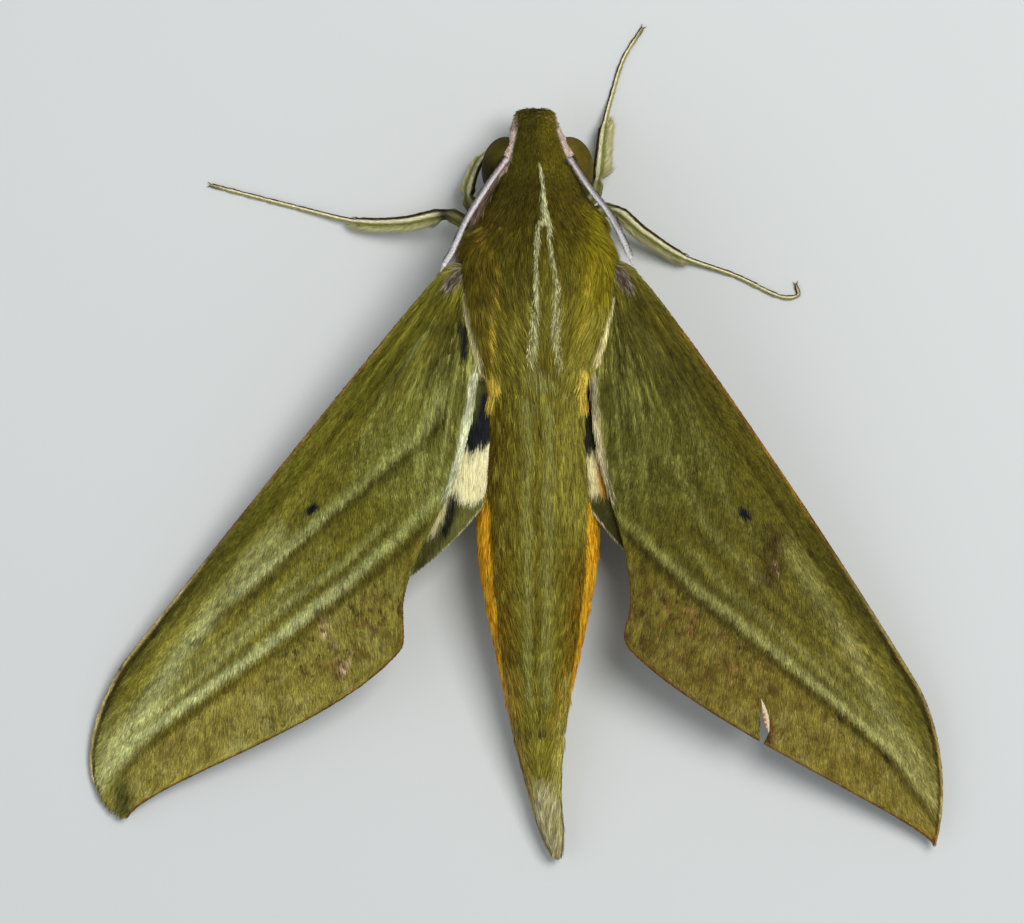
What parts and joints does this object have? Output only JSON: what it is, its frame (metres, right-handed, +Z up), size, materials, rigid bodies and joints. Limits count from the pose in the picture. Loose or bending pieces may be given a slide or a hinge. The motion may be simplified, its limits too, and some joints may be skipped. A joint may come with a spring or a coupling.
{
  "type": "hawk moth, life-size still model",
  "caption": "Olive-green hawk moth at rest: streamlined hairy body, swept-back narrow wings sloping to the ground, antennae laid back along the shoulders, slender legs.",
  "frame": {"origin": "centre of the moth's outline on the ground, under the middle of its overall box", "axes": "+Z up from the ground, +Y towards the head, +X to the moth's right"},
  "size_m": [0.0486, 0.0476, 0.0091],
  "materials": {
    "body_coat": "short silky olive hair",
    "palp_coat": "dense dark olive scales",
    "tail_brush": "long grey-brown hair scales",
    "forewing": "flat olive scales with pale stripes, slight sheen",
    "hindwing": "flat scales, black at the base, cream patch, green edge",
    "eye": "faceted, softly glossy",
    "antenna": "white scales above, grey-brown below",
    "leg": "pale green scales with cream fringes"
  },
  "bodies": {
    "root": {"head": "body_coat", "palp_left": "palp_coat", "palp_right": "palp_coat", "eye_left": "eye", "eye_right": "eye", "antenna_left": "antenna", "antenna_right": "antenna", "thorax": "body_coat", "tegula_left": "body_coat", "tegula_right": "body_coat", "abdomen_1": "body_coat", "abdomen_2": "body_coat", "abdomen_3": "body_coat", "abdomen_4": "body_coat", "abdomen_5": "body_coat", "abdomen_6": "body_coat", "abdomen_7": "body_coat", "tail_brush": "tail_brush", "forewing_left": "forewing", "forewing_right": "forewing", "hindwing_left": "hindwing", "hindwing_right": "hindwing", "leg_fore_left": "leg", "leg_fore_right": "leg", "leg_mid_left": "leg", "leg_mid_right": "leg", "leg_hind_left": "leg", "leg_hind_right": "leg"}
  },
  "joints": []
}
